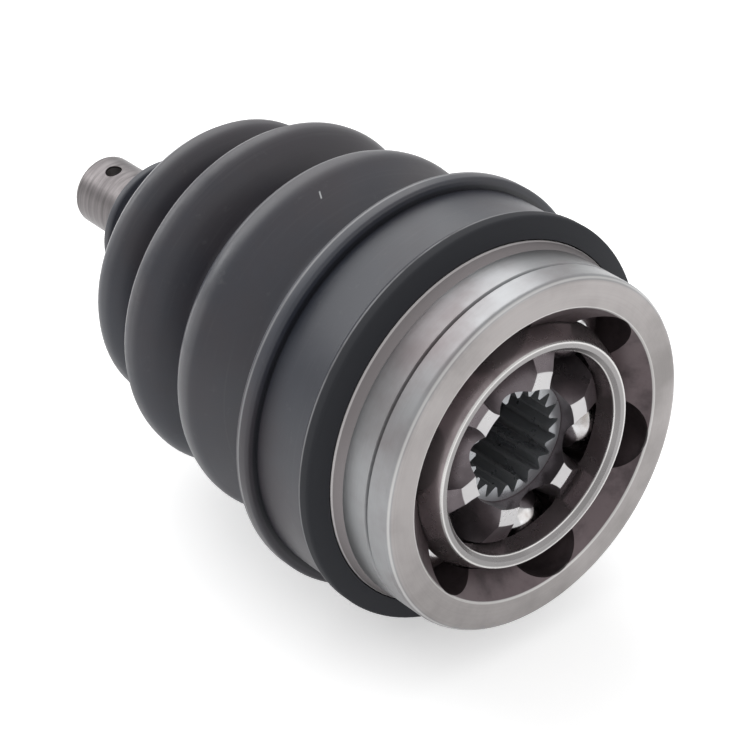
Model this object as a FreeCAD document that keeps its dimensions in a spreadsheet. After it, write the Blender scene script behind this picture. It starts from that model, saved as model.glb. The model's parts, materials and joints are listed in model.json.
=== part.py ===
import FreeCAD, Part
import math
import os
import re
import Sketcher

# Outboard constant velocity joint, fixed ball type, for a light off-road vehicle.
#
# The joint's axis is Y. The mouth of the bell faces -Y, the stub axle points along +Y, and
# the origin is the joint centre, where the plane of the six balls crosses the axis.
# Every profile is drawn in the XY plane, x being a radius and y a place along the axis,
# and is revolved about Y.

doc = FreeCAD.newDocument("cv_joint")
sheet = doc.addObject("Spreadsheet::Sheet", "Sizes")

SIZES = [
    # Bell: the outer race, forged in one with its stub axle.
    ("mouth_depth", 16.0, "joint centre to the mouth face"),
    ("bell_radius", 42.0, "radius of the machined flange and band"),
    ("mouth_corner", 1.7, "rounding of the mouth's outer edge"),
    ("mouth_radius", 34.9, "large end of the cone inside the mouth"),
    ("mouth_cone_depth", 5.6, "length of the cone along the axis"),
    ("flange_width", 6.6, "mouth face to the thin turned groove"),
    ("line_groove_width", 1.0, "thin turned groove behind the flange"),
    ("line_groove_depth", 0.7, "depth of the thin turned groove"),
    ("band_width", 8.1, "flange to the start of the boot shoulder"),
    ("shoulder_width", 2.7, "cone up to the boot seat"),
    ("seat_radius", 43.1, "cylinder that the boot sits on"),
    ("seat_width", 19.6, "length of the boot seat"),
    ("seat_groove_start", 7.0, "front of the seat to its shallow groove"),
    ("seat_groove_width", 7.0, "width of the shallow groove"),
    ("seat_groove_depth", 0.8, "depth of the shallow groove"),
    ("seat_rear_round", 2.2, "rounding at the rear of the seat"),
    ("back_length", 17.5, "conical back of the bell along the axis"),
    ("cavity_depth", 25.2, "joint centre to the flat bottom inside the bell"),
    # Stub axle.
    ("neck_radius", 20.0, "shoulder that the wheel bearing seats against"),
    ("neck_length", 5.0, "length of that shoulder"),
    ("edge_chamfer", 1.0, "chamfer on turned edges"),
    ("hub_spline_radius", 13.0, "over the hub splines"),
    ("hub_spline_depth", 1.3, "depth of the spaces between the hub splines"),
    ("hub_spline_count", 26, "number of hub splines"),
    ("hub_spline_gap", 1.9, "space between hub splines at the outside"),
    ("hub_spline_floor", 1.0, "space between hub splines at the bottom"),
    ("hub_spline_length", 46.0, "length of the splined part"),
    ("relief_width", 3.0, "turned relief beside a shoulder or thread"),
    ("relief_clearance", 0.3, "how far a relief lies below the form beside it"),
    ("shank_radius", 10.4, "plain shank behind the thread"),
    ("shank_length", 22.5, "length of the plain shank"),
    ("stub_thread_radius", 8.95, "outside of the nut's thread"),
    ("stub_thread_depth", 0.95, "depth of the nut's thread"),
    ("stub_thread_length", 22.0, "length of the thread"),
    ("stub_end_round", 1.8, "rounding of the free end"),
    ("centre_hole_radius", 2.4, "mouth of the turning centre in the free end"),
    ("centre_hole_depth", 4.0, "depth of the turning centre"),
    ("cotter_hole_radius", 2.1, "cross hole for the cotter pin"),
    ("cotter_hole_setback", 8.0, "cross hole to the free end"),
    ("cotter_hole_turn", 119.0, "direction of the cross hole about the axis"),
    # Balls and the tracks that they run in.
    ("ball_count", 6, "number of balls"),
    ("ball_radius", 8.334, "radius of a ball"),
    ("ball_circle_radius", 27.9, "joint axis to a ball's centre"),
    ("track_offset", 4.0, "joint centre to the centre of each track's arc"),
    ("track_play", 0.2, "gap between a ball and its track"),
    ("outer_track_front", 47.0, "arc of the outer track towards the mouth"),
    ("outer_track_rear", 50.0, "arc of the outer track towards the stub"),
    ("inner_track_angle", 150.0, "arc of the inner track"),
    ("ball_turn", 16.0, "turn of the ball pattern about the axis"),
    # Cage.
    ("cage_radius", 30.8, "outer sphere of the cage"),
    ("cage_wall", 5.2, "outer to inner sphere of the cage"),
    ("cage_play", 0.3, "gap on each side of the cage's spheres"),
    ("cage_front", 15.3, "joint centre to the cage's front face"),
    ("cage_rear", 13.0, "joint centre to the cage's rear face"),
    ("cage_mouth_radius", 24.2, "straight bore at the front of the cage"),
    ("cage_mouth_bevel", 1.1, "bevel at the cage's front bore"),
    ("window_play", 0.35, "gap between a ball and a window, along the axis"),
    ("window_length", 20.6, "window round the cage"),
    ("window_corner", 4.5, "corner radius of a window"),
    # Inner race.
    ("inner_half_width", 12.1, "joint centre to each face of the inner race"),
    ("inner_face_radius", 18.2, "outer radius of the flat faces"),
    ("inner_bevel_width", 2.4, "cone between a flat face and the sphere"),
    ("bore_recess_radius", 14.3, "plain recess in front of the splines"),
    ("bore_recess_depth", 4.1, "depth of the recess"),
    ("bore_radius", 10.8, "inside the axle splines"),
    ("axle_spline_depth", 2.4, "depth of the spaces between the axle splines"),
    ("axle_spline_count", 20, "number of axle splines"),
    ("axle_spline_land", 0.7, "width of an axle spline at its tip"),
    ("axle_spline_root", 0.6, "width of a space at its bottom"),
    ("bore_rear_chamfer", 2.7, "chamfer at the rear of the bore"),
    # Rubber boot.
    ("boot_wall", 2.6, "wall of the bellows"),
    ("boot_gap", 0.25, "gap between the boot and its seat"),
    ("soft_edge", 0.8, "rounding of the large collar's edges"),
    ("collar_wall", 3.55, "wall under the band that a clamp goes round"),
    ("collar_band_width", 14.2, "width of that band"),
    ("collar_bore_length", 23.0, "straight bore of the large collar"),
    ("lip_height", 1.3, "front lip above the band"),
    ("lip_slope", 2.1, "front face of the lip along the axis"),
    ("lip_width", 2.0, "width of the front lip"),
    ("lip_ramp", 2.0, "slope from the lip down to the band"),
    ("ridge_height", 2.7, "ridge behind the band, above the band"),
    ("ridge_width", 3.2, "width of the ridge"),
    ("fold_a_drop", 2.2, "first fold's crest below the band"),
    ("fold_b_drop", 5.5, "second fold's crest below the band"),
    ("fold_c_drop", 12.5, "third fold's crest below the band"),
    ("crest_round", 6.2, "outside rounding of a crest"),
    ("dip_a_depth", 7.2, "dip in front of the first fold, below its crest"),
    ("dip_b_depth", 8.7, "dip in front of the second fold, below its crest"),
    ("dip_c_depth", 6.6, "dip in front of the third fold, below its crest"),
    ("dip_d_depth", 0.5, "dip in front of the small collar, below its band"),
    ("dip_round", 2.6, "outside rounding of a dip"),
    ("dip_a_step", 11.5, "ridge to the first dip, along the axis"),
    ("fold_a_step", 14.3, "first dip to the first crest"),
    ("dip_b_step", 12.5, "first crest to the second dip"),
    ("fold_b_step", 10.2, "second dip to the second crest"),
    ("dip_c_step", 10.7, "second crest to the third dip"),
    ("fold_c_step", 8.8, "third dip to the third crest"),
    ("dip_d_step", 11.9, "third crest to the last dip"),
    ("small_collar_step", 3.0, "last dip to the small collar"),
    ("small_collar_length", 12.4, "length of the small collar"),
    ("small_collar_gap", 1.1, "gap between the small collar and the shank"),
    ("small_collar_wall", 3.8, "wall under the small collar's band"),
    ("small_lip_height", 1.6, "lips of the small collar above its band"),
    ("small_lip_width", 2.2, "width of each small lip"),
    ("small_lip_fall", 0.8, "slope beside each small lip"),
]

for row, (alias, size, meaning) in enumerate(SIZES, start=1):
    sheet.set("A%d" % row, alias)
    sheet.set("B%d" % row, str(size))
    sheet.set("C%d" % row, meaning)
    sheet.setAlias("B%d" % row, alias)
doc.recompute()

WORD = re.compile(r"[a-z][a-z_]*_[a-z_]+")


def named(text):
    """Writes an expression on the sheet's aliases in full."""
    return WORD.sub(lambda word: "Sizes." + word.group(0), text)


def number(text):
    """The present value of an expression on the sheet's aliases."""
    return float(sheet.evalExpression(named(text)))


def origin_feature(body, role):
    for feature in body.Origin.OriginFeatures:
        if feature.Role == role:
            return feature
    raise ValueError("no origin feature " + role)


def new_body(label):
    body = doc.addObject("PartDesign::Body", label)
    body.Label = label
    return body


def new_sketch(body, name, role="XY_Plane"):
    sketch = body.newObject("Sketcher::SketchObject", name)
    sketch.AttachmentSupport = [(origin_feature(body, role), "")]
    sketch.MapMode = "FlatFace"
    return sketch


def hold(sketch, constraint, text):
    """Adds a constraint and binds its value to the sheet."""
    index = sketch.addConstraint(constraint)
    sketch.setExpression("Constraints[%d]" % index, named(text))


def hold_point(sketch, geometry, end, x_text, y_text):
    """Fixes one point of a sketch by its two coordinates."""
    if x_text == "0":
        sketch.addConstraint(Sketcher.Constraint("PointOnObject", geometry, end, -2))
    else:
        hold(sketch, Sketcher.Constraint("DistanceX", -1, 1, geometry, end, number(x_text)), x_text)
    if y_text == "0":
        sketch.addConstraint(Sketcher.Constraint("PointOnObject", geometry, end, -1))
    else:
        hold(sketch, Sketcher.Constraint("DistanceY", -1, 1, geometry, end, number(y_text)), y_text)


def arc_between(start, finish, radius, turn):
    """The short arc from start to finish, turning left (+1) or right (-1)."""
    chord = finish - start
    middle = (start + finish) * 0.5
    rise = math.sqrt(max(radius ** 2 - (chord.Length / 2) ** 2, 0.0))
    left = FreeCAD.Vector(-chord.y, chord.x, 0).normalize()
    centre = middle + left * (rise * turn)
    angles = [math.atan2(point.y - centre.y, point.x - centre.x) for point in (start, finish)]
    if turn < 0:
        angles.reverse()
    circle = Part.Circle(centre, FreeCAD.Vector(0, 0, 1), radius)
    return Part.ArcOfCircle(circle, angles[0], angles[1])


def draw_profile(sketch, steps):
    """Draws a closed profile. A step is a point's x and y and, for an arc to the next
    point, its radius and its turn."""
    corners = [FreeCAD.Vector(number(step[0]), number(step[1]), 0) for step in steps]
    ends = []
    for index, step in enumerate(steps):
        start = corners[index]
        finish = corners[(index + 1) % len(steps)]
        if len(step) == 2:
            edge = sketch.addGeometry(Part.LineSegment(start, finish))
            ends.append((edge, 1, 2))
        else:
            turn = step[3]
            edge = sketch.addGeometry(arc_between(start, finish, number(step[2]), turn))
            ends.append((edge, 1, 2) if turn > 0 else (edge, 2, 1))
    for index, step in enumerate(steps):
        edge, first, last = ends[index]
        following, following_first, unused = ends[(index + 1) % len(steps)]
        sketch.addConstraint(
            Sketcher.Constraint("Coincident", edge, last, following, following_first))
    for index, step in enumerate(steps):
        edge, first, last = ends[index]
        hold_point(sketch, edge, first, step[0], step[1])
        if len(step) > 2:
            hold(sketch, Sketcher.Constraint("Radius", edge, number(step[2])), step[2])


def tangent_ends(first, second):
    """The two ends of the line that leaves one round and meets the next. A round is a
    centre, a radius and a turn; a corner is a round with no radius."""
    reach = second[0] - first[0]
    along = FreeCAD.Vector(reach).normalize()
    left = FreeCAD.Vector(-along.y, along.x, 0)
    first_side = -first[1] * first[2]
    second_side = -second[1] * second[2]
    lean = (first_side - second_side) / reach.Length
    normal = along * lean + left * math.sqrt(1 - lean ** 2)
    return first[0] + normal * first_side, second[0] + normal * second_side


def draw_rounded_profile(sketch, steps):
    """Draws a closed profile of straight lines that run tangent into rounds. A step is a
    corner's x and y, or a round's centre x and y, its radius and its turn."""
    rounds = []
    for step in steps:
        centre = FreeCAD.Vector(number(step[0]), number(step[1]), 0)
        round_size = (number(step[2]), step[3]) if len(step) > 2 else (0.0, 1)
        rounds.append((centre,) + round_size)
    count = len(steps)
    ends = [tangent_ends(rounds[index], rounds[(index + 1) % count]) for index in range(count)]
    lines = [sketch.addGeometry(Part.LineSegment(*pair)) for pair in ends]
    for index, step in enumerate(steps):
        before, after = lines[index - 1], lines[index]
        if len(step) == 2:
            sketch.addConstraint(Sketcher.Constraint("Coincident", before, 2, after, 1))
            hold_point(sketch, after, 1, step[0], step[1])
            continue
        centre, radius, turn = rounds[index]
        angles = [math.atan2(point.y - centre.y, point.x - centre.x)
                  for point in (ends[index - 1][1], ends[index][0])]
        if turn < 0:
            angles.reverse()
        circle = Part.Circle(centre, FreeCAD.Vector(0, 0, 1), radius)
        arc = sketch.addGeometry(Part.ArcOfCircle(circle, angles[0], angles[1]))
        arc_in, arc_out = (1, 2) if turn > 0 else (2, 1)
        sketch.addConstraint(Sketcher.Constraint("Tangent", before, 2, arc, arc_in))
        sketch.addConstraint(Sketcher.Constraint("Tangent", arc, arc_out, after, 1))
        hold_point(sketch, arc, 3, step[0], step[1])
        hold(sketch, Sketcher.Constraint("Radius", arc, radius), step[2])


def revolve(body, sketch, name):
    feature = body.newObject("PartDesign::Revolution", name)
    feature.Profile = sketch
    feature.ReferenceAxis = (sketch, ["V_Axis"])
    feature.Angle = 360
    return feature


def pattern_round(body, original, name, count_text):
    feature = body.newObject("PartDesign::PolarPattern", name)
    feature.Originals = [original]
    feature.Axis = (origin_feature(body, "Y_Axis"), [""])
    feature.Angle = 360
    feature.setExpression("Occurrences", named(count_text))
    body.Tip = feature
    return feature


def cut_track(body, name, centre_text, front_text, rear_text):
    """Cuts a ball track: a round section carried on an arc whose centre is on the axis.
    The arc runs by one angle towards the mouth and by the other towards the stub."""
    sketch = new_sketch(body, name + "_section", "XZ_Plane")
    sketch.setExpression(".AttachmentOffset.Base.z", named("-(" + centre_text + ")"))
    arc_radius = "sqrt(ball_circle_radius^2 + track_offset^2)"
    centre = FreeCAD.Vector(number(arc_radius), 0, 0)
    section = number("ball_radius + track_play")
    edge = sketch.addGeometry(Part.Circle(centre, FreeCAD.Vector(0, 0, 1), section))
    hold_point(sketch, edge, 3, arc_radius, "0")
    hold(sketch, Sketcher.Constraint("Radius", edge, section), "ball_radius + track_play")
    feature = body.newObject("PartDesign::Groove", name)
    feature.Profile = sketch
    feature.ReferenceAxis = (sketch, ["V_Axis"])
    feature.Type = "TwoAngles"
    feature.setExpression("Angle", named(rear_text))
    feature.setExpression("Angle2", named(front_text))
    return feature


# Outer race: the bell and its stub axle.
outer_race = new_body("outer_race")

race_sphere = "(cage_radius + cage_play)"
throat_y = "(mouth_cone_depth - mouth_depth)"
flange_y = "(flange_width - mouth_depth)"
band_y = "(flange_width + band_width - mouth_depth)"
seat_y = "(flange_width + band_width + shoulder_width - mouth_depth)"
groove_y = "(" + seat_y + " + seat_groove_start)"
seat_end_y = "(" + seat_y + " + seat_width)"
neck_y = "(" + seat_end_y + " + seat_rear_round + back_length)"
spline_y = "(" + neck_y + " + neck_length)"
shank_y = "(" + spline_y + " + relief_width + hub_spline_length)"
thread_relief_y = "(" + shank_y + " + shank_length)"
thread_y = "(" + thread_relief_y + " + relief_width)"
stub_end_y = "(" + thread_y + " + stub_thread_length + stub_end_round)"
spline_relief_radius = "(hub_spline_radius - hub_spline_depth - relief_clearance)"
thread_relief_radius = "(stub_thread_radius - stub_thread_depth - relief_clearance)"

bell_sketch = new_sketch(outer_race, "bell_profile")
draw_profile(bell_sketch, [
    ("mouth_radius", "-mouth_depth"),
    ("bell_radius - mouth_corner", "-mouth_depth", "mouth_corner", 1),
    ("bell_radius", "mouth_corner - mouth_depth"),
    ("bell_radius", flange_y),
    ("bell_radius - line_groove_depth", flange_y + " + line_groove_width / 3"),
    ("bell_radius - line_groove_depth", flange_y + " + line_groove_width * 2 / 3"),
    ("bell_radius", flange_y + " + line_groove_width"),
    ("bell_radius", band_y),
    ("seat_radius", seat_y),
    ("seat_radius", groove_y),
    ("seat_radius - seat_groove_depth", groove_y + " + seat_groove_depth"),
    ("seat_radius - seat_groove_depth", groove_y + " + seat_groove_width - seat_groove_depth"),
    ("seat_radius", groove_y + " + seat_groove_width"),
    ("seat_radius", seat_end_y, "seat_rear_round", 1),
    ("seat_radius - seat_rear_round", seat_end_y + " + seat_rear_round"),
    ("neck_radius", neck_y),
    ("neck_radius", spline_y + " - edge_chamfer"),
    ("neck_radius - edge_chamfer", spline_y),
    (spline_relief_radius, spline_y),
    (spline_relief_radius, spline_y + " + relief_width - edge_chamfer"),
    ("hub_spline_radius", spline_y + " + relief_width + edge_chamfer"),
    ("hub_spline_radius", shank_y + " - (hub_spline_radius - shank_radius)"),
    ("shank_radius", shank_y),
    ("shank_radius", thread_relief_y + " - edge_chamfer"),
    ("shank_radius - edge_chamfer", thread_relief_y),
    (thread_relief_radius, thread_relief_y),
    (thread_relief_radius, thread_y + " - edge_chamfer"),
    ("stub_thread_radius", thread_y + " + relief_clearance"),
    ("stub_thread_radius", stub_end_y + " - stub_end_round", "stub_end_round", 1),
    ("stub_thread_radius - stub_end_round", stub_end_y),
    ("centre_hole_radius", stub_end_y),
    ("0", stub_end_y + " - centre_hole_depth"),
    ("0", "cavity_depth"),
    ("sqrt(" + race_sphere + "^2 - cavity_depth^2)", "cavity_depth", race_sphere, -1),
    ("sqrt(" + race_sphere + "^2 - " + throat_y + "^2)", throat_y),
])
bell = revolve(outer_race, bell_sketch, "bell_and_stub")

outer_track = cut_track(outer_race, "outer_track", "-track_offset",
                        "outer_track_front", "outer_track_rear")
pattern_round(outer_race, outer_track, "outer_tracks", "ball_count")


def cut_spaces(body, name, start_text, length_text, count_text, corners):
    """Cuts straight spline spaces that run along the axis from start towards the stub."""
    sketch = new_sketch(body, name + "_section", "XZ_Plane")
    sketch.setExpression(".AttachmentOffset.Base.z", named("-(" + start_text + ")"))
    draw_profile(sketch, corners)
    feature = body.newObject("PartDesign::Pocket", name)
    feature.Profile = sketch
    feature.Type = "Length"
    feature.setExpression("Length", named(length_text))
    return pattern_round(body, feature, name + "_all", count_text)


hub_root = "(hub_spline_radius - hub_spline_depth)"
cut_spaces(
    outer_race, "hub_spline_space",
    spline_y + " + relief_width - edge_chamfer",
    "hub_spline_length + edge_chamfer", "hub_spline_count",
    [
        (hub_root, "-hub_spline_floor / 2"),
        ("hub_spline_radius", "-hub_spline_gap / 2"),
        ("hub_spline_radius + hub_spline_depth", "-hub_spline_gap / 2"),
        ("hub_spline_radius + hub_spline_depth", "hub_spline_gap / 2"),
        ("hub_spline_radius", "hub_spline_gap / 2"),
        (hub_root, "hub_spline_floor / 2"),
    ])

cotter_sketch = new_sketch(outer_race, "cotter_hole_section")
cotter_sketch.setExpression(".AttachmentOffset.Rotation.Axis.x", "0")
cotter_sketch.setExpression(".AttachmentOffset.Rotation.Axis.y", "1")
cotter_sketch.setExpression(".AttachmentOffset.Rotation.Axis.z", "0")
cotter_sketch.setExpression(".AttachmentOffset.Rotation.Angle", named("90 - cotter_hole_turn"))
cotter_centre = FreeCAD.Vector(0, number(stub_end_y + " - cotter_hole_setback"), 0)
cotter_circle = cotter_sketch.addGeometry(
    Part.Circle(cotter_centre, FreeCAD.Vector(0, 0, 1), number("cotter_hole_radius")))
hold_point(cotter_sketch, cotter_circle, 3, "0", stub_end_y + " - cotter_hole_setback")
hold(cotter_sketch, Sketcher.Constraint("Radius", cotter_circle, number("cotter_hole_radius")),
     "cotter_hole_radius")
cotter_hole = outer_race.newObject("PartDesign::Pocket", "cotter_hole")
cotter_hole.Profile = cotter_sketch
cotter_hole.Type = "Length"
cotter_hole.Midplane = True
cotter_hole.setExpression("Length", named("stub_thread_radius * 3"))

# Cage: a ring between two spheres, with a window for each ball.
ball_cage = new_body("ball_cage")
cage_inner = "(cage_radius - cage_wall)"
cage_sketch = new_sketch(ball_cage, "cage_profile")
draw_profile(cage_sketch, [
    ("cage_mouth_radius + cage_mouth_bevel", "-cage_front"),
    ("sqrt(cage_radius^2 - cage_front^2)", "-cage_front", "cage_radius", 1),
    ("sqrt(cage_radius^2 - cage_rear^2)", "cage_rear"),
    ("sqrt(" + cage_inner + "^2 - cage_rear^2)", "cage_rear", cage_inner, -1),
    ("cage_mouth_radius", "-sqrt(" + cage_inner + "^2 - cage_mouth_radius^2)"),
    ("cage_mouth_radius", "cage_mouth_bevel - cage_front"),
])
revolve(ball_cage, cage_sketch, "cage_ring")

window_half = "(ball_radius + window_play)"
window_end = "(window_length / 2)"
window_sketch = new_sketch(ball_cage, "window_outline", "YZ_Plane")
draw_profile(window_sketch, [
    ("window_corner - " + window_half, "-" + window_end),
    (window_half + " - window_corner", "-" + window_end, "window_corner", 1),
    (window_half, "window_corner - " + window_end),
    (window_half, window_end + " - window_corner", "window_corner", 1),
    (window_half + " - window_corner", window_end),
    ("window_corner - " + window_half, window_end, "window_corner", 1),
    ("-" + window_half, window_end + " - window_corner"),
    ("-" + window_half, "window_corner - " + window_end, "window_corner", 1),
])
window = ball_cage.newObject("PartDesign::Pocket", "window")
window.Profile = window_sketch
window.Type = "ThroughAll"
window.Reversed = True
pattern_round(ball_cage, window, "windows", "ball_count")

# Inner race: a star with a track for each ball and a splined bore for the axle.
inner_race = new_body("inner_race")
star_sphere = "(cage_radius - cage_wall - cage_play)"
bevel_y = "(inner_half_width - inner_bevel_width)"
recess_y = "(bore_recess_depth - inner_half_width)"
star_sketch = new_sketch(inner_race, "star_profile")
draw_profile(star_sketch, [
    ("bore_recess_radius", "-inner_half_width"),
    ("inner_face_radius", "-inner_half_width"),
    ("sqrt(" + star_sphere + "^2 - " + bevel_y + "^2)", "-" + bevel_y, star_sphere, 1),
    ("sqrt(" + star_sphere + "^2 - " + bevel_y + "^2)", bevel_y),
    ("inner_face_radius", "inner_half_width"),
    ("bore_radius + bore_rear_chamfer", "inner_half_width"),
    ("bore_radius", "inner_half_width - bore_rear_chamfer"),
    ("bore_radius", recess_y),
    ("bore_recess_radius", recess_y),
])
revolve(inner_race, star_sketch, "star_blank")
inner_track = cut_track(inner_race, "inner_track", "track_offset",
                        "inner_track_angle / 2", "inner_track_angle / 2")
pattern_round(inner_race, inner_track, "inner_tracks", "ball_count")
space_mouth = "(pi * bore_radius / axle_spline_count - axle_spline_land / 2)"
space_root = "(bore_radius + axle_spline_depth)"
cut_spaces(
    inner_race, "axle_spline_space",
    recess_y, "inner_half_width * 2 - bore_recess_depth", "axle_spline_count",
    [
        ("bore_radius - axle_spline_land", "-" + space_mouth),
        ("bore_radius", "-" + space_mouth),
        (space_root, "-axle_spline_root / 2"),
        (space_root, "axle_spline_root / 2"),
        ("bore_radius", space_mouth),
        ("bore_radius - axle_spline_land", space_mouth),
    ])

# Balls, one in each window.
balls = []
for place in range(int(number("ball_count"))):
    ball = doc.addObject("Part::Sphere", "ball_%d" % (place + 1))
    ball.Label = "ball_%d" % (place + 1)
    ball.setExpression("Radius", named("ball_radius"))
    balls.append(ball)

# Rubber boot: a large collar on the bell, three folds and a small collar.
boot = new_body("boot")
boot_bore = "(seat_radius + boot_gap)"
band_radius = "(seat_radius + boot_gap + collar_wall)"
lip_edge = "(" + band_radius + " + lip_height - soft_edge)"
ridge_edge = "(" + band_radius + " + ridge_height - soft_edge)"
small_bore = "(shank_radius + small_collar_gap)"
small_band = "(" + small_bore + " + small_collar_wall)"
small_lip = "(" + small_band + " + small_lip_height)"
lip_y = "(" + seat_y + " + lip_slope)"
lip_end_y = "(" + lip_y + " + lip_width)"
collar_band_y = "(" + lip_end_y + " + lip_ramp)"
ridge_y = "(" + collar_band_y + " + collar_band_width)"
ridge_end_y = "(" + ridge_y + " + ridge_width)"

# Each fold is a crest behind a dip. The last dip leads into the small collar.
folds = []
fold_y = ridge_end_y
for letter in "abc":
    crest = "(" + band_radius + " - fold_" + letter + "_drop)"
    dip_y = "(" + fold_y + " + dip_" + letter + "_step)"
    fold_y = "(" + dip_y + " + fold_" + letter + "_step)"
    folds.append((crest + " - dip_" + letter + "_depth + dip_round", dip_y, "dip_round", -1))
    folds.append((crest + " - crest_round", fold_y, "crest_round", 1))
last_dip_y = "(" + fold_y + " + dip_d_step)"
folds.append((small_band + " - dip_d_depth + dip_round", last_dip_y, "dip_round", -1))
inside = []
for across, along, radius, turn in reversed(folds):
    wall = " - boot_wall" if turn > 0 else " + boot_wall"
    inside.append((across, along, radius + wall, -turn))
small_y = "(" + last_dip_y + " + small_collar_step)"
small_end_y = "(" + small_y + " + small_collar_length)"

boot_sketch = new_sketch(boot, "boot_profile")
draw_rounded_profile(boot_sketch, [
    (boot_bore, seat_y),
    (lip_edge, lip_y, "soft_edge", 1),
    (lip_edge, lip_end_y, "soft_edge", 1),
    (band_radius + " + soft_edge", collar_band_y, "soft_edge", -1),
    (band_radius, ridge_y),
    (ridge_edge, ridge_y + " + soft_edge", "soft_edge", 1),
    (ridge_edge, ridge_end_y, "soft_edge", 1),
] + folds + [
    (small_lip, small_y),
    (small_lip, small_y + " + small_lip_width"),
    (small_band, small_y + " + small_lip_width + small_lip_fall"),
    (small_band, small_end_y + " - small_lip_width - small_lip_fall"),
    (small_lip, small_end_y + " - small_lip_width"),
    (small_lip, small_end_y),
    (small_bore, small_end_y),
    (small_bore, small_y),
] + inside + [
    (boot_bore, seat_y + " + collar_bore_length"),
])
revolve(boot, boot_sketch, "boot_shell")
doc.recompute()

# The ball pattern, with everything that lines up with it, is turned about the axis.
turned = FreeCAD.Rotation(FreeCAD.Vector(0, 1, 0), number("ball_turn"))
for body in (outer_race, ball_cage, inner_race, boot):
    body.Placement = FreeCAD.Placement(FreeCAD.Vector(), turned)
for place, ball in enumerate(balls):
    share = FreeCAD.Rotation(FreeCAD.Vector(0, 1, 0), -place * 360 / len(balls))
    arm = FreeCAD.Vector(number("ball_circle_radius"), 0, 0)
    ball.Placement = FreeCAD.Placement(turned.multVec(share.multVec(arm)), turned)
doc.recompute()

sub_parts = [outer_race, ball_cage, inner_race] + balls + [boot]
for item in doc.Objects:
    if "Invalid" in item.State or "Error" in item.State:
        raise RuntimeError("object failed: " + item.Label)
for sub_part in sub_parts:
    shape = sub_part.Shape
    if shape.isNull() or not shape.isValid() or len(shape.Solids) != 1:
        raise RuntimeError("bad shape: " + sub_part.Label)

os.makedirs("parts", exist_ok=True)
for sub_part in sub_parts:
    sub_part.Shape.exportStep("parts/" + sub_part.Label + ".step")
    print("%s %.1f mm3" % (sub_part.Label, sub_part.Shape.Volume))
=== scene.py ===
import json
import math
import bpy
import bmesh
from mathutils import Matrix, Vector


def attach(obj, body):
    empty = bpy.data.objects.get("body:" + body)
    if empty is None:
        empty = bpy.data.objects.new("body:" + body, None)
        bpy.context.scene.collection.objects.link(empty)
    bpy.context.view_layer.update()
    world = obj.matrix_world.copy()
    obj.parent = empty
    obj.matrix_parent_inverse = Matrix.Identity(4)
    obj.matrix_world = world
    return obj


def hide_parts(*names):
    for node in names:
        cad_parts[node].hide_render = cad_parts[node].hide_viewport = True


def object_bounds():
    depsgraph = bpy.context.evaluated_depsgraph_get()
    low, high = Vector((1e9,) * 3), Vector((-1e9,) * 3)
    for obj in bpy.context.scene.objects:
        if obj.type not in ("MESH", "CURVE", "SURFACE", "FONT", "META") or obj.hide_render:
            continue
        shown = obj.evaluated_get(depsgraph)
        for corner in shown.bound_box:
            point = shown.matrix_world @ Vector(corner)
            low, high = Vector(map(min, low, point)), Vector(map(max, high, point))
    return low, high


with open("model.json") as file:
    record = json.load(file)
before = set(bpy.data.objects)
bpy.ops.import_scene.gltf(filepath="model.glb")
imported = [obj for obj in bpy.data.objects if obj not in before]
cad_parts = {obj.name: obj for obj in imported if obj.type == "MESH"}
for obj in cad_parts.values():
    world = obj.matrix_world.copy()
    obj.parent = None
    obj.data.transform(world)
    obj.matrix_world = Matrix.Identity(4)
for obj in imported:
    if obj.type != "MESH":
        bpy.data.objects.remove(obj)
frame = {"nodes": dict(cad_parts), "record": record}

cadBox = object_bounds()
print("frame loaded")

millimetres = 1000.0  # in a metre
white = (1, 1, 1)

# Camera: the mouth to the lower right, the stub away to the left.
cameraView = {"place": (-0.3541, -0.3837, 0.3362), "looksAlong": (0.5466, 0.6512, -0.5265),
              "fieldOfView": 14.97, "clip": (0.01, 30)}


def makeCamera(settings):
    bpy.ops.object.select_all(action="DESELECT")
    bpy.ops.object.camera_add(location=settings["place"])
    camera = bpy.context.object
    camera.name = "studioCamera"
    camera.rotation_euler = Vector(settings["looksAlong"]).to_track_quat("-Z", "Y").to_euler()
    camera.data.sensor_fit = "HORIZONTAL"
    camera.data.angle = math.radians(settings["fieldOfView"])
    camera.data.clip_start, camera.data.clip_end = settings["clip"]
    bpy.context.scene.camera = camera


makeCamera(cameraView)
bpy.context.scene.view_settings.view_transform = "Standard"


def startGroup(name, inputs, outputs):
    # An input with no value is a vector. Everything else is a number.
    group = bpy.data.node_groups.new(name, "ShaderNodeTree")
    for label, value in inputs.items():
        kind = "NodeSocketVector" if value is None else "NodeSocketFloat"
        socket = group.interface.new_socket(label, in_out="INPUT", socket_type=kind)
        if value is not None:
            socket.default_value = value
    for label in outputs:
        group.interface.new_socket(label, in_out="OUTPUT", socket_type="NodeSocketFloat")
    given = group.nodes.new("NodeGroupInput")
    result = group.nodes.new("NodeGroupOutput")
    return group, given.outputs, result.inputs


def wire(tree, source, target):
    # A source is a socket, a number or a colour of three numbers.
    if isinstance(source, bpy.types.NodeSocket):
        tree.links.new(source, target)
    else:
        target.default_value = source + (1,) if isinstance(source, tuple) else source


def mathNode(tree, operation, *values, clamp=False):
    node = tree.nodes.new("ShaderNodeMath")
    node.operation = operation
    node.use_clamp = clamp
    for place, value in enumerate(values):
        wire(tree, value, node.inputs[place])
    return node.outputs[0]


def both(tree, first, second):
    return mathNode(tree, "MULTIPLY", first, second)


def either(tree, first, second):
    return mathNode(tree, "MAXIMUM", first, second)


def hypotenuse(tree, first, second):
    squares = [mathNode(tree, "MULTIPLY", side, side) for side in (first, second)]
    return mathNode(tree, "SQRT", mathNode(tree, "ADD", *squares))


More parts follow.
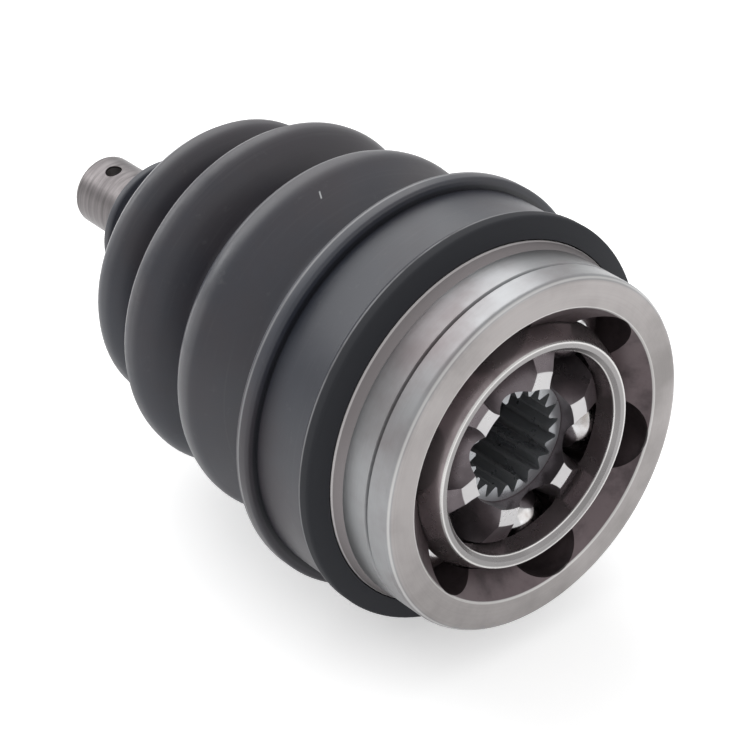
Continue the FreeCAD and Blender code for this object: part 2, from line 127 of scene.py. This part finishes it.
def softStep(tree, value, low, high):
    # From nothing at low to one at high.
    node = tree.nodes.new("ShaderNodeMapRange")
    node.interpolation_type = "SMOOTHSTEP"
    wire(tree, value, node.inputs["Value"])
    wire(tree, low, node.inputs["From Min"])
    wire(tree, high, node.inputs["From Max"])
    return node.outputs["Result"]


def softFall(tree, value, low, high):
    # From one at low to nothing at high.
    return mathNode(tree, "SUBTRACT", 1.0, softStep(tree, value, low, high))


def mixColour(tree, factor, first, second):
    node = tree.nodes.new("ShaderNodeMix")
    node.data_type = "RGBA"
    wire(tree, factor, node.inputs[0])
    wire(tree, first, node.inputs[6])  # a Mix node's two colours
    wire(tree, second, node.inputs[7])
    return node.outputs[2]


def mixNumber(tree, factor, first, second):
    node = tree.nodes.new("ShaderNodeMix")
    node.data_type = "FLOAT"
    wire(tree, factor, node.inputs[0])
    wire(tree, first, node.inputs[2])  # a Mix node's two numbers
    wire(tree, second, node.inputs[3])
    return node.outputs[0]


def layOver(tree, mix, base, *layers):
    # Each layer is a mask and the colour or number that it shows.
    for mask, layer in layers:
        base = mix(tree, mask, base, layer)
    return base


def noiseNode(tree, place, scale, detail, roughness):
    node = tree.nodes.new("ShaderNodeTexNoise")
    wire(tree, place, node.inputs["Vector"])
    wire(tree, scale, node.inputs["Scale"])
    wire(tree, detail, node.inputs["Detail"])
    wire(tree, roughness, node.inputs["Roughness"])
    return node.outputs["Fac"]


def bumpNode(tree, height, strength, depth):
    # The depth is in millimetres.
    node = tree.nodes.new("ShaderNodeBump")
    wire(tree, strength, node.inputs["Strength"])
    wire(tree, depth / millimetres, node.inputs["Distance"])
    wire(tree, height, node.inputs["Height"])
    return node.outputs["Normal"]


def placeGroup(tree, group, **values):
    node = tree.nodes.new("ShaderNodeGroup")
    node.node_tree = group
    for label, value in values.items():
        wire(tree, value, node.inputs[label])
    return node.outputs


# Effects that several finishes share. A noise is its detail and its roughness.
effectNoise = {"lines": (3.0, 0.6), "cloud": (5.0, 0.58)}


def makeAxisPlace():
    # Distance from the joint's axis and place along it, in millimetres, and the turn about it.
    group, given, result = startGroup("axisPlace", {"Vector": None}, ("Radius", "Along", "Turn"))
    split = group.nodes.new("ShaderNodeSeparateXYZ")
    wire(group, given["Vector"], split.inputs[0])
    across, along, up = split.outputs
    wire(group, both(group, hypotenuse(group, across, up), millimetres), result["Radius"])
    wire(group, both(group, along, millimetres), result["Along"])
    wire(group, mathNode(group, "ARCTAN2", up, across), result["Turn"])
    return group


def makeBand():
    # One between low and high, nothing outside, with soft ends.
    inputs = {"Value": 0.0, "Low": 0.0, "High": 1.0, "Soft": 0.1}
    group, given, result = startGroup("band", inputs, ("Mask",))
    value, low, high, soft = [given[label] for label in inputs]
    rise = softStep(group, value, mathNode(group, "SUBTRACT", low, soft), low)
    fall = softFall(group, value, high, mathNode(group, "ADD", high, soft))
    wire(group, both(group, rise, fall), result["Mask"])
    return group


def makeLatheLines(noise):
    # Fine rings left by turning: lines round the axis on straight walls and circles on end faces.
    inputs = {"Radius": 0.0, "Along": 0.0, "Turn": 0.0, "Spacing": 0.3}
    group, given, result = startGroup("latheLines", inputs, ("Height",))
    radius, along, turn, spacing = [given[label] for label in inputs]
    join = group.nodes.new("ShaderNodeCombineXYZ")
    wire(group, mathNode(group, "DIVIDE", radius, spacing), join.inputs["X"])
    wire(group, mathNode(group, "DIVIDE", along, spacing), join.inputs["Y"])
    wire(group, mathNode(group, "COSINE", turn), join.inputs["Z"])
    wire(group, noiseNode(group, join.outputs[0], 1.0, *noise), result["Height"])
    return group


def makeCloud(noise):
    # Soft patches, such as oil, dust or uneven handling. Their size is in millimetres.
    inputs = {"Vector": None, "Size": 10.0, "Low": 0.4, "High": 0.7}
    group, given, result = startGroup("cloud", inputs, ("Mask",))
    scale = mathNode(group, "DIVIDE", millimetres, given["Size"])
    patches = noiseNode(group, given["Vector"], scale, *noise)
    wire(group, softStep(group, patches, given["Low"], given["High"]), result["Mask"])
    return group


axisPlace, band = makeAxisPlace(), makeBand()
latheLines, cloud = makeLatheLines(effectNoise["lines"]), makeCloud(effectNoise["cloud"])


def bandMask(tree, value, low, high, soft):
    return placeGroup(tree, band, Value=value, Low=low, High=high, Soft=soft)["Mask"]


def cloudMask(tree, place, size, low, high):
    return placeGroup(tree, cloud, Vector=place, Size=size, Low=low, High=high)["Mask"]


def turnedLines(tree, axis, turn, spacing):
    return placeGroup(tree, latheLines, Radius=axis["Radius"], Along=axis["Along"], Turn=turn,
                      Spacing=spacing)["Height"]


def startMaterial(name, metallic):
    material = bpy.data.materials.new(name)
    material.use_nodes = True
    tree = material.node_tree
    shader = tree.nodes["Principled BSDF"].inputs
    shader["Metallic"].default_value = metallic
    place = tree.nodes.new("ShaderNodeTexCoord").outputs["Object"]
    return material, tree, shader, place


# In every finish, a name with Along, Radius or Reach is in millimetres: where a change starts
# and ends, and for a band also how softly. Patches are their size and the range of noise over
# which they fade in. A share is how strong an effect is, and a bump is its strength and depth.

# Bell: satin turned steel outside, dark oily steel inside, with painted highlight lines on the
# mouth's edges and at the shoulder's rear edge next to the boot.
bellFinish = {
    "outside": (0.30, 0.306, 0.314), "outsideDull": (0.205, 0.182, 0.186),
    "face": (0.385, 0.362, 0.358), "faceDull": (0.26, 0.245, 0.24),
    # The shoulder's rear edge gets a painted highlight colour: a thin bright line next to the boot.
    "shoulder": (0.20, 0.183, 0.186), "shoulderRimHighlight": (0.46, 0.44, 0.44),
    "forged": (0.16, 0.155, 0.15), "hole": (0.55, 0.53, 0.53),
    "stub": (0.185, 0.17, 0.172), "stubDull": (0.105, 0.095, 0.097),
    "inside": (0.12, 0.092, 0.098), "insideStain": (0.055, 0.04, 0.044),
    # The mouth's edges get a painted highlight colour: thin bright lines on the outer corner and
    # the inner edge.
    "paintedHighlight": (0.66, 0.65, 0.64), "lineShade": (0.1, 0.1, 0.1),
    "faceAlong": (-15.93, -15.63), "forgedAlong": (20.2, 22.2), "stubAlong": (94.0, 95.0),
    "shoulderAlong": (-1.2, 2.2, 0.25), "shoulderRimAlong": (1.0, 1.3, 0.2),
    "holeAlong": (133.7, 138.3, 0.05), "holeRadius": (8.3, 8.5),
    "insideAlong": (-15.93, -15.58), "insideReach": (39.2, 39.4),  # from the joint's centre
    "edgeAlong": (-16.13, -15.43, 0.35), "edgeRadius": (41.2, 41.45),
    "mouthAlong": (-15.43, -15.03), "mouthRadius": (34.65, 35.0, 0.15),
    "patches": (26.0, 0.35, 0.72), "stains": (9.0, 0.42, 0.7),
    "lineSpacing": 0.22, "lineShare": 0.22, "lineBump": (0.4, 0.03),
    "coarseSpacing": 1.3, "coarseRange": (0.35, 0.7), "highlightShare": 0.6,
    "outsideRough": (0.34, 0.44), "insideRough": (0.36, 0.5), "shoulderRough": 0.46,
    "forgedRough": 0.52, "stubRough": 0.38, "metallic": 1.0, "insideOilShare": 0.3,
}


def makeBellSteel(settings):
    material, tree, shader, place = startMaterial("bellSteel", settings["metallic"])
    axis = placeGroup(tree, axisPlace, Vector=place)
    radius, along, turn = axis["Radius"], axis["Along"], axis["Turn"]
    face = softFall(tree, along, *settings["faceAlong"])
    shoulder = bandMask(tree, along, *settings["shoulderAlong"])
    # Painted highlight: a thin bright line at the shoulder's rear edge.
    shoulderRimHighlight = bandMask(tree, along, *settings["shoulderRimAlong"])
    forged = softStep(tree, along, *settings["forgedAlong"])
    stub = softStep(tree, along, *settings["stubAlong"])
    hole = both(tree, bandMask(tree, along, *settings["holeAlong"]),
                softFall(tree, radius, *settings["holeRadius"]))
    reach = hypotenuse(tree, radius, along)
    inside = both(tree, softFall(tree, reach, *settings["insideReach"]),
                  softStep(tree, along, *settings["insideAlong"]))
    # Painted highlight lines on the mouth face's outer corner and inner edge.
    edgeHighlight = both(tree, bandMask(tree, along, *settings["edgeAlong"]),
                    softStep(tree, radius, *settings["edgeRadius"]))
    mouthHighlight = both(tree, bandMask(tree, radius, *settings["mouthRadius"]),
                     softFall(tree, along, *settings["mouthAlong"]))
    paintedHighlight = both(tree, either(tree, edgeHighlight, mouthHighlight), settings["highlightShare"])
    patches = cloudMask(tree, place, *settings["patches"])
    stains = cloudMask(tree, place, *settings["stains"])
    lines = turnedLines(tree, axis, turn, settings["lineSpacing"])
    coarse = turnedLines(tree, axis, turn, settings["coarseSpacing"])
    coarse = softStep(tree, coarse, *settings["coarseRange"])

    colour = layOver(
        tree, mixColour, mixColour(tree, patches, settings["outside"], settings["outsideDull"]),
        (face, mixColour(tree, patches, settings["face"], settings["faceDull"])),
        (shoulder, settings["shoulder"]), (shoulderRimHighlight, settings["shoulderRimHighlight"]),
        (forged, settings["forged"]),
        (stub, mixColour(tree, coarse, settings["stub"], settings["stubDull"])),
        (hole, settings["hole"]),
        (inside, mixColour(tree, stains, settings["inside"], settings["insideStain"])),
        (paintedHighlight, settings["paintedHighlight"]),
        (both(tree, lines, settings["lineShare"]), settings["lineShade"]))
    wire(tree, colour, shader["Base Color"])
    rough = layOver(
        tree, mixNumber, mixNumber(tree, patches, *settings["outsideRough"]),
        (inside, mixNumber(tree, stains, *settings["insideRough"])),
        (shoulder, settings["shoulderRough"]), (forged, settings["forgedRough"]),
        (stub, settings["stubRough"]))
    wire(tree, rough, shader["Roughness"])
    oil = both(tree, inside, settings["insideOilShare"])
    wire(tree, mathNode(tree, "SUBTRACT", settings["metallic"], oil), shader["Metallic"])
    wire(tree, bumpNode(tree, lines, *settings["lineBump"]), shader["Normal"])
    return material


def startOiledSteel(name, settings):
    # Dark steel with oily patches and fine turned lines. Its colour is still to be wired.
    material, tree, shader, place = startMaterial(name, settings["metallic"])
    axis = placeGroup(tree, axisPlace, Vector=place)
    patches = cloudMask(tree, place, *settings["patches"])
    lines = turnedLines(tree, axis, axis["Turn"], settings["lineSpacing"])
    stained = both(tree, patches, settings["stainShare"])
    body = mixColour(tree, stained, settings["body"], settings["bodyStain"])
    wire(tree, mixNumber(tree, patches, *settings["rough"]), shader["Roughness"])
    wire(tree, bumpNode(tree, lines, *settings["lineBump"]), shader["Normal"])
    return material, tree, shader, axis, body


# Cage: dark phosphated steel with a bright turned ring at its front, with painted highlight lines
# on the ring's outer and inner edges.
cageFinish = {
    "body": (0.30, 0.258, 0.265), "bodyStain": (0.12, 0.092, 0.096), "ring": (0.30, 0.29, 0.29),
    # The ring's outer and inner edges get a painted highlight colour.
    "bevel": (0.24, 0.23, 0.23), "ringEdgeHighlight": (0.66, 0.65, 0.64), "ringAlong": (-15.25, -15.05),
    "bevelAlong": (-15.2, -14.15, 0.05), "bevelRadius": (25.4, 25.6),
    "outerRimAlong": (-15.1, -14.75), "outerRimRadius": (26.2, 26.5),
    "innerRimAlong": (-14.35, -13.95, 0.12), "innerRimRadius": (24.5, 24.7),
    "patches": (9.0, 0.35, 0.7), "stainShare": 0.7, "lineSpacing": 0.18, "lineBump": (0.25, 0.02),
    "rough": (0.2, 0.34), "metallic": 0.75,
}


def makeCageSteel(settings):
    material, tree, shader, axis, body = startOiledSteel("cageSteel", settings)
    radius, along = axis["Radius"], axis["Along"]
    ring = softFall(tree, along, *settings["ringAlong"])
    bevel = both(tree, bandMask(tree, along, *settings["bevelAlong"]),
                 softFall(tree, radius, *settings["bevelRadius"]))
    # Painted highlight lines on the ring's outer and inner edges.
    outerRimHighlight = both(tree, softStep(tree, radius, *settings["outerRimRadius"]),
                    softFall(tree, along, *settings["outerRimAlong"]))
    innerRimHighlight = both(tree, bandMask(tree, along, *settings["innerRimAlong"]),
                    softFall(tree, radius, *settings["innerRimRadius"]))
    colour = layOver(tree, mixColour, body, (ring, settings["ring"]), (bevel, settings["bevel"]),
                     (either(tree, outerRimHighlight, innerRimHighlight), settings["ringEdgeHighlight"]))
    wire(tree, colour, shader["Base Color"])
    return material


# Inner race: ground end faces, dark hardened tracks, broached bore.
raceFinish = {
    "body": (0.165, 0.142, 0.152), "bodyStain": (0.07, 0.058, 0.064),
    "face": (0.56, 0.55, 0.555), "bore": (0.35, 0.36, 0.375),
    "faceAlong": (11.98, 12.08), "boreRadius": (14.0, 14.2),
    "patches": (6.0, 0.35, 0.7), "stainShare": 0.6, "lineSpacing": 0.16, "lineBump": (0.3, 0.02),
    "rough": (0.26, 0.4), "metallic": 0.72,
}


def makeRaceSteel(settings):
    material, tree, shader, axis, body = startOiledSteel("raceSteel", settings)
    bore = softFall(tree, axis["Radius"], *settings["boreRadius"])
    fromMiddle = mathNode(tree, "ABSOLUTE", axis["Along"])
    face = softStep(tree, fromMiddle, *settings["faceAlong"])
    colour = layOver(tree, mixColour, body, (bore, settings["bore"]), (face, settings["face"]))
    wire(tree, colour, shader["Base Color"])
    return material


# Balls: polished steel with a thin smear of oil.
ballFinish = {"polished": (0.58, 0.58, 0.59), "oily": (0.40, 0.37, 0.35),
              "patches": (5.0, 0.4, 0.8), "rough": (0.1, 0.26), "metallic": 1.0}


def makeBallSteel(settings):
    material, tree, shader, place = startMaterial("ballSteel", settings["metallic"])
    patches = cloudMask(tree, place, *settings["patches"])
    colour = mixColour(tree, patches, settings["polished"], settings["oily"])
    wire(tree, colour, shader["Base Color"])
    wire(tree, mixNumber(tree, patches, *settings["rough"]), shader["Roughness"])
    return material


# Boot: charcoal rubber, a little blue, with a pale bloom, faint scuffs and one small pale tick.
# Painted shade darkens the front lip and the crease at the ridge's foot, and painted highlight
# rings lie on the lips and folds.
rubberFinish = {
    "rubber": (0.022, 0.025, 0.036), "bloom": (0.042, 0.046, 0.060), "aged": (0.036, 0.029, 0.034),
    # Next line: scuffs, then a near-black painted shade for the front lip and the crease, then a
    # pale painted highlight for rings on the lips and folds.
    "scuff": (0.085, 0.085, 0.09), "paintedShade": (0.007, 0.008, 0.012), "paintedHighlight": (0.19, 0.19, 0.20),
    "tickColour": (0.46, 0.47, 0.48),
    "bloomPatches": (30.0, 0.35, 0.72), "bloomShare": 0.7,
    "agedPatches": (62.0, 0.42, 0.66), "agedShare": 0.7,
    "scuffPatches": (3.0, 0.62, 0.8), "scuffShare": 0.35,
    "streakSpacing": 0.9, "streakTurns": 2.0, "streakRange": (0.55, 0.75), "streakShare": 0.14,
    "lipShadeAlong": (5.2, 7.4),  # painted shade covers the front lip up to here
    # A dark painted shade line in the crease at the ridge's foot.
    "creaseAlong": (21.25, 21.68, 0.15), "creaseRadius": (47.6, 48.2),
    "highlightPatches": (16.0, 0.22, 0.55),
    # painted highlight rings on the lips and the folds' crests: from, to, how softly they end,
    # share
    "highlightRings": ((5.4, 5.6, 0.28, 1.0), (24.45, 24.7, 0.28, 1.0), (53.1, 53.8, 0.5, 0.8),
                  (75.8, 76.5, 0.5, 0.8), (95.3, 96.0, 0.5, 0.8), (50.4, 52.6, 1.8, 0.24),
                  (73.1, 75.3, 1.8, 0.24), (92.6, 94.8, 1.8, 0.24)),
    "tickAlong": (45.0, 46.1, 0.3), "tickTurn": (1.796, 1.802, 0.003), "tickSkew": 0.0128,
    "grain": (0.7, 0.2, 0.8), "grainBump": (0.12, 0.05),
    "rough": (0.38, 0.52), "lipRough": 0.8, "metallic": 0.0,
}


def makeBootRubber(settings):
    material, tree, shader, place = startMaterial("bootRubber", settings["metallic"])
    axis = placeGroup(tree, axisPlace, Vector=place)
    radius, along, turn = axis["Radius"], axis["Along"], axis["Turn"]
    # Painted shade covers the front lip. This mask is one past it.
    pastLip = softStep(tree, along, *settings["lipShadeAlong"])
    bloom = both(tree, cloudMask(tree, place, *settings["bloomPatches"]), pastLip)
    aged = cloudMask(tree, place, *settings["agedPatches"])
    scuffs = cloudMask(tree, place, *settings["scuffPatches"])
    streaks = turnedLines(tree, axis, both(tree, turn, settings["streakTurns"]),
                          settings["streakSpacing"])
    streaks = softStep(tree, streaks, *settings["streakRange"])
    # Painted shade: a dark line in the crease at the ridge's foot.
    crease = both(tree, bandMask(tree, along, *settings["creaseAlong"]),
                  softFall(tree, radius, *settings["creaseRadius"]))
    unshaded = mathNode(tree, "SUBTRACT", pastLip, crease, clamp=True)
    # Painted highlight rings on the lips and the folds' crests, broken up by patches.
    ringHighlights = 0.0
    for low, high, soft, share in settings["highlightRings"]:
        ringHighlights = either(tree, ringHighlights, both(tree, bandMask(tree, along, low, high, soft), share))
    ringHighlights = both(tree, ringHighlights, cloudMask(tree, place, *settings["highlightPatches"]))
    # A small pale tick mark on the first fold.
    pastTick = mathNode(tree, "SUBTRACT", along, settings["tickAlong"][0])
    slant = both(tree, pastTick, settings["tickSkew"])
    tick = both(tree, bandMask(tree, along, *settings["tickAlong"]),
                bandMask(tree, mathNode(tree, "ADD", turn, slant), *settings["tickTurn"]))

    colour = layOver(tree, mixColour, settings["rubber"],
                     (both(tree, bloom, settings["bloomShare"]), settings["bloom"]),
                     (both(tree, aged, settings["agedShare"]), settings["aged"]),
                     (both(tree, streaks, settings["streakShare"]), settings["scuff"]),
                     (both(tree, scuffs, settings["scuffShare"]), settings["scuff"]))
    # Painted shade over the front lip and in the crease.
    colour = mixColour(tree, unshaded, settings["paintedShade"], colour)
    # Then the painted highlight rings and the small pale tick.
    colour = layOver(tree, mixColour, colour, (ringHighlights, settings["paintedHighlight"]), (tick, settings["tickColour"]))
    wire(tree, colour, shader["Base Color"])
    rough = mixNumber(tree, bloom, *settings["rough"])
    wire(tree, mixNumber(tree, pastLip, settings["lipRough"], rough), shader["Roughness"])
    grain = cloudMask(tree, place, *settings["grain"])
    wire(tree, bumpNode(tree, grain, *settings["grainBump"]), shader["Normal"])
    return material


finishes = {"bell_steel": makeBellSteel(bellFinish), "cage_steel": makeCageSteel(cageFinish),
            "race_steel": makeRaceSteel(raceFinish), "ball_steel": makeBallSteel(ballFinish),
            "boot_rubber": makeBootRubber(rubberFinish)}
nodeSlots = {part["node"]: part["material_slot"] for part in frame["record"]["subparts"]}
for nodeName, node in frame["nodes"].items():
    node.data.materials.clear()
    node.data.materials.append(finishes[nodeSlots[nodeName]])
print("finishes made")

# Boot, in millimetres. Each ring is a radius, a place along the axis and how far its corner is
# rounded. They go from the front lip over the folds to the small collar, and back inside.
bootShape = {
    "rings": [
        (43.35, 1.40, 0), (48.20, 2.91, 0.59), (48.20, 5.82, 0.32), (46.90, 7.18, 0.32),
        (46.90, 21.70, 0), (49.59, 21.70, 0.8), (49.59, 25.28, 0.38), (36.70, 35.82, 2.26),
        (46.95, 52.65, 6.06), (30.37, 63.27, 4.19), (50.29, 75.22, 13.87), (23.68, 83.46, 6.23),
        (45.13, 94.90, 15.88), (11.94, 103.53, 4.96), (16.90, 107.80, 0.4), (16.90, 110.00, 0.4),
        (15.30, 110.80, 0.4), (15.30, 117.20, 0.4), (16.90, 118.00, 0.4), (16.90, 120.20, 0.7),
        (11.50, 120.20, 0.4), (11.50, 107.80, 0), (12.94, 100.59, 3.26), (38.03, 94.06, 9.22),
        (16.95, 82.82, 12.47), (43.96, 74.45, 8.06), (25.43, 63.35, 8.39), (43.40, 51.83, 3.52),
        (33.72, 35.92, 3.72), (43.35, 24.40, 0.5)],
    "sides": 128,
    "smallCorner": 2.0, "smallSegments": 3, "largeSegments": 9,
    "mergeWithin": 0.01, "sameRingWithin": 0.04, "smoothAngle": 35,
}


def selectRing(piece, radius, along, tolerance):
    # Selects the edges that run round the axis at one radius and one place along it.
    mesh = bmesh.from_edit_mesh(piece.data)
    bpy.ops.mesh.select_all(action="DESELECT")
    found = [edge for edge in mesh.edges
             if all(abs(point.co.y - along) < tolerance
                    and abs(math.hypot(point.co.x, point.co.z) - radius) < tolerance
                    for point in edge.verts)]
    for edge in found:
        edge.select_set(True)
    bmesh.update_edit_mesh(piece.data)
    return len(found)


def makeBoot(settings):
    rings = [tuple(length / millimetres for length in ring) for ring in settings["rings"]]
    firstRadius, firstAlong = rings[0][:2]
    bpy.ops.object.select_all(action="DESELECT")
    bpy.ops.mesh.primitive_circle_add(vertices=settings["sides"], radius=firstRadius,
                                      location=(0, firstAlong, 0),
                                      rotation=(math.radians(90), 0, 0))
    piece = bpy.context.object
    piece.name = "rubberBoot"
    bpy.ops.object.transform_apply(location=True, rotation=True, scale=True)
    bpy.ops.object.mode_set(mode="EDIT")
    bpy.ops.mesh.select_mode(type="EDGE")
    bpy.ops.mesh.select_all(action="SELECT")
    for before, after in zip(rings, rings[1:] + rings[:1]):
        step = (0, after[1] - before[1], 0)
        bpy.ops.mesh.extrude_region_move(TRANSFORM_OT_translate={"value": step})
        scale = after[0] / before[0]
        bpy.ops.transform.resize(value=(scale, 1, scale), center_override=(0, after[1], 0))
    bpy.ops.mesh.select_all(action="SELECT")
    bpy.ops.mesh.remove_doubles(threshold=settings["mergeWithin"] / millimetres)
    bpy.ops.mesh.normals_make_consistent(inside=False)
    tolerance = settings["sameRingWithin"] / millimetres
    smallCorner = settings["smallCorner"] / millimetres
    for radius, along, corner in rings:
        if corner > 0 and selectRing(piece, radius, along, tolerance):
            size = "smallSegments" if corner < smallCorner else "largeSegments"
            bpy.ops.mesh.bevel(offset_type="OFFSET", offset=corner, segments=settings[size],
                               profile=0.5, affect="EDGES", clamp_overlap=False)
    bpy.ops.object.mode_set(mode="OBJECT")
    bpy.ops.object.shade_smooth_by_angle(angle=math.radians(settings["smoothAngle"]))
    piece.data.materials.append(finishes["boot_rubber"])
    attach(piece, "boot")
    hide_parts("boot")
    return piece


boot = makeBoot(bootShape)
print("boot made:", len(boot.data.vertices), "points")

# Floor and light, in metres and watts.
studio = {
    "floorColour": (0.93, 0.93, 0.93), "floorSize": 6.0, "floorGlow": 0.45,
    "floorRough": 0.9, "floorSpecular": 0.1, "worldLevel": 0.68,
    "lampsAim": (0, 0.05, 0),
    # place, size and power of each lamp
    "lamps": {"keyLamp": ((0.15, 0.75, 0.85), (1.3, 0.9), 7.0),
              "rimLamp": ((-0.45, 1.15, 0.5), (0.35, 0.35), 2.4),
              "fillLamp": ((0.35, -0.95, 0.45), (0.9, 0.6), 1.0)},
}


def seenRays(tree):
    # The camera sees the pale backdrop, and so do metal and glass.
    path = tree.nodes.new("ShaderNodeLightPath").outputs
    seen = either(tree, path["Is Camera Ray"], path["Is Glossy Ray"])
    return either(tree, seen, path["Is Transmission Ray"])


def makeFloor(settings):
    bpy.ops.object.select_all(action="DESELECT")
    bpy.ops.mesh.primitive_plane_add(size=settings["floorSize"], location=(0, 0, cadBox[0][2]))
    floor = bpy.context.object
    floor.name = "studioFloor"
    material = bpy.data.materials.new("floorPaint")
    material.use_nodes = True
    tree = material.node_tree
    shader = tree.nodes["Principled BSDF"].inputs
    wire(tree, settings["floorColour"], shader["Base Color"])
    wire(tree, settings["floorRough"], shader["Roughness"])
    wire(tree, settings["floorSpecular"], shader["Specular IOR Level"])
    wire(tree, white, shader["Emission Color"])
    wire(tree, both(tree, seenRays(tree), settings["floorGlow"]), shader["Emission Strength"])
    floor.data.materials.append(material)


def makeWorld(settings):
    world = bpy.data.worlds.new("studioWorld")
    bpy.context.scene.world = world
    world.use_nodes = True
    tree = world.node_tree
    background = tree.nodes["Background"].inputs
    wire(tree, white, background["Color"])
    level = mixNumber(tree, seenRays(tree), settings["worldLevel"], 1.0)
    wire(tree, level, background["Strength"])


def makeLamp(name, aim, place, size, power):
    bpy.ops.object.select_all(action="DESELECT")
    bpy.ops.object.light_add(type="AREA", location=place)
    lamp = bpy.context.object
    lamp.name = name
    lamp.rotation_euler = (Vector(aim) - Vector(place)).to_track_quat("-Z", "Y").to_euler()
    lamp.data.shape = "RECTANGLE"
    lamp.data.size, lamp.data.size_y = size
    lamp.data.energy = power


makeFloor(studio)
makeWorld(studio)
for lampName, lampSettings in studio["lamps"].items():
    makeLamp(lampName, studio["lampsAim"], *lampSettings)
print("studio made")
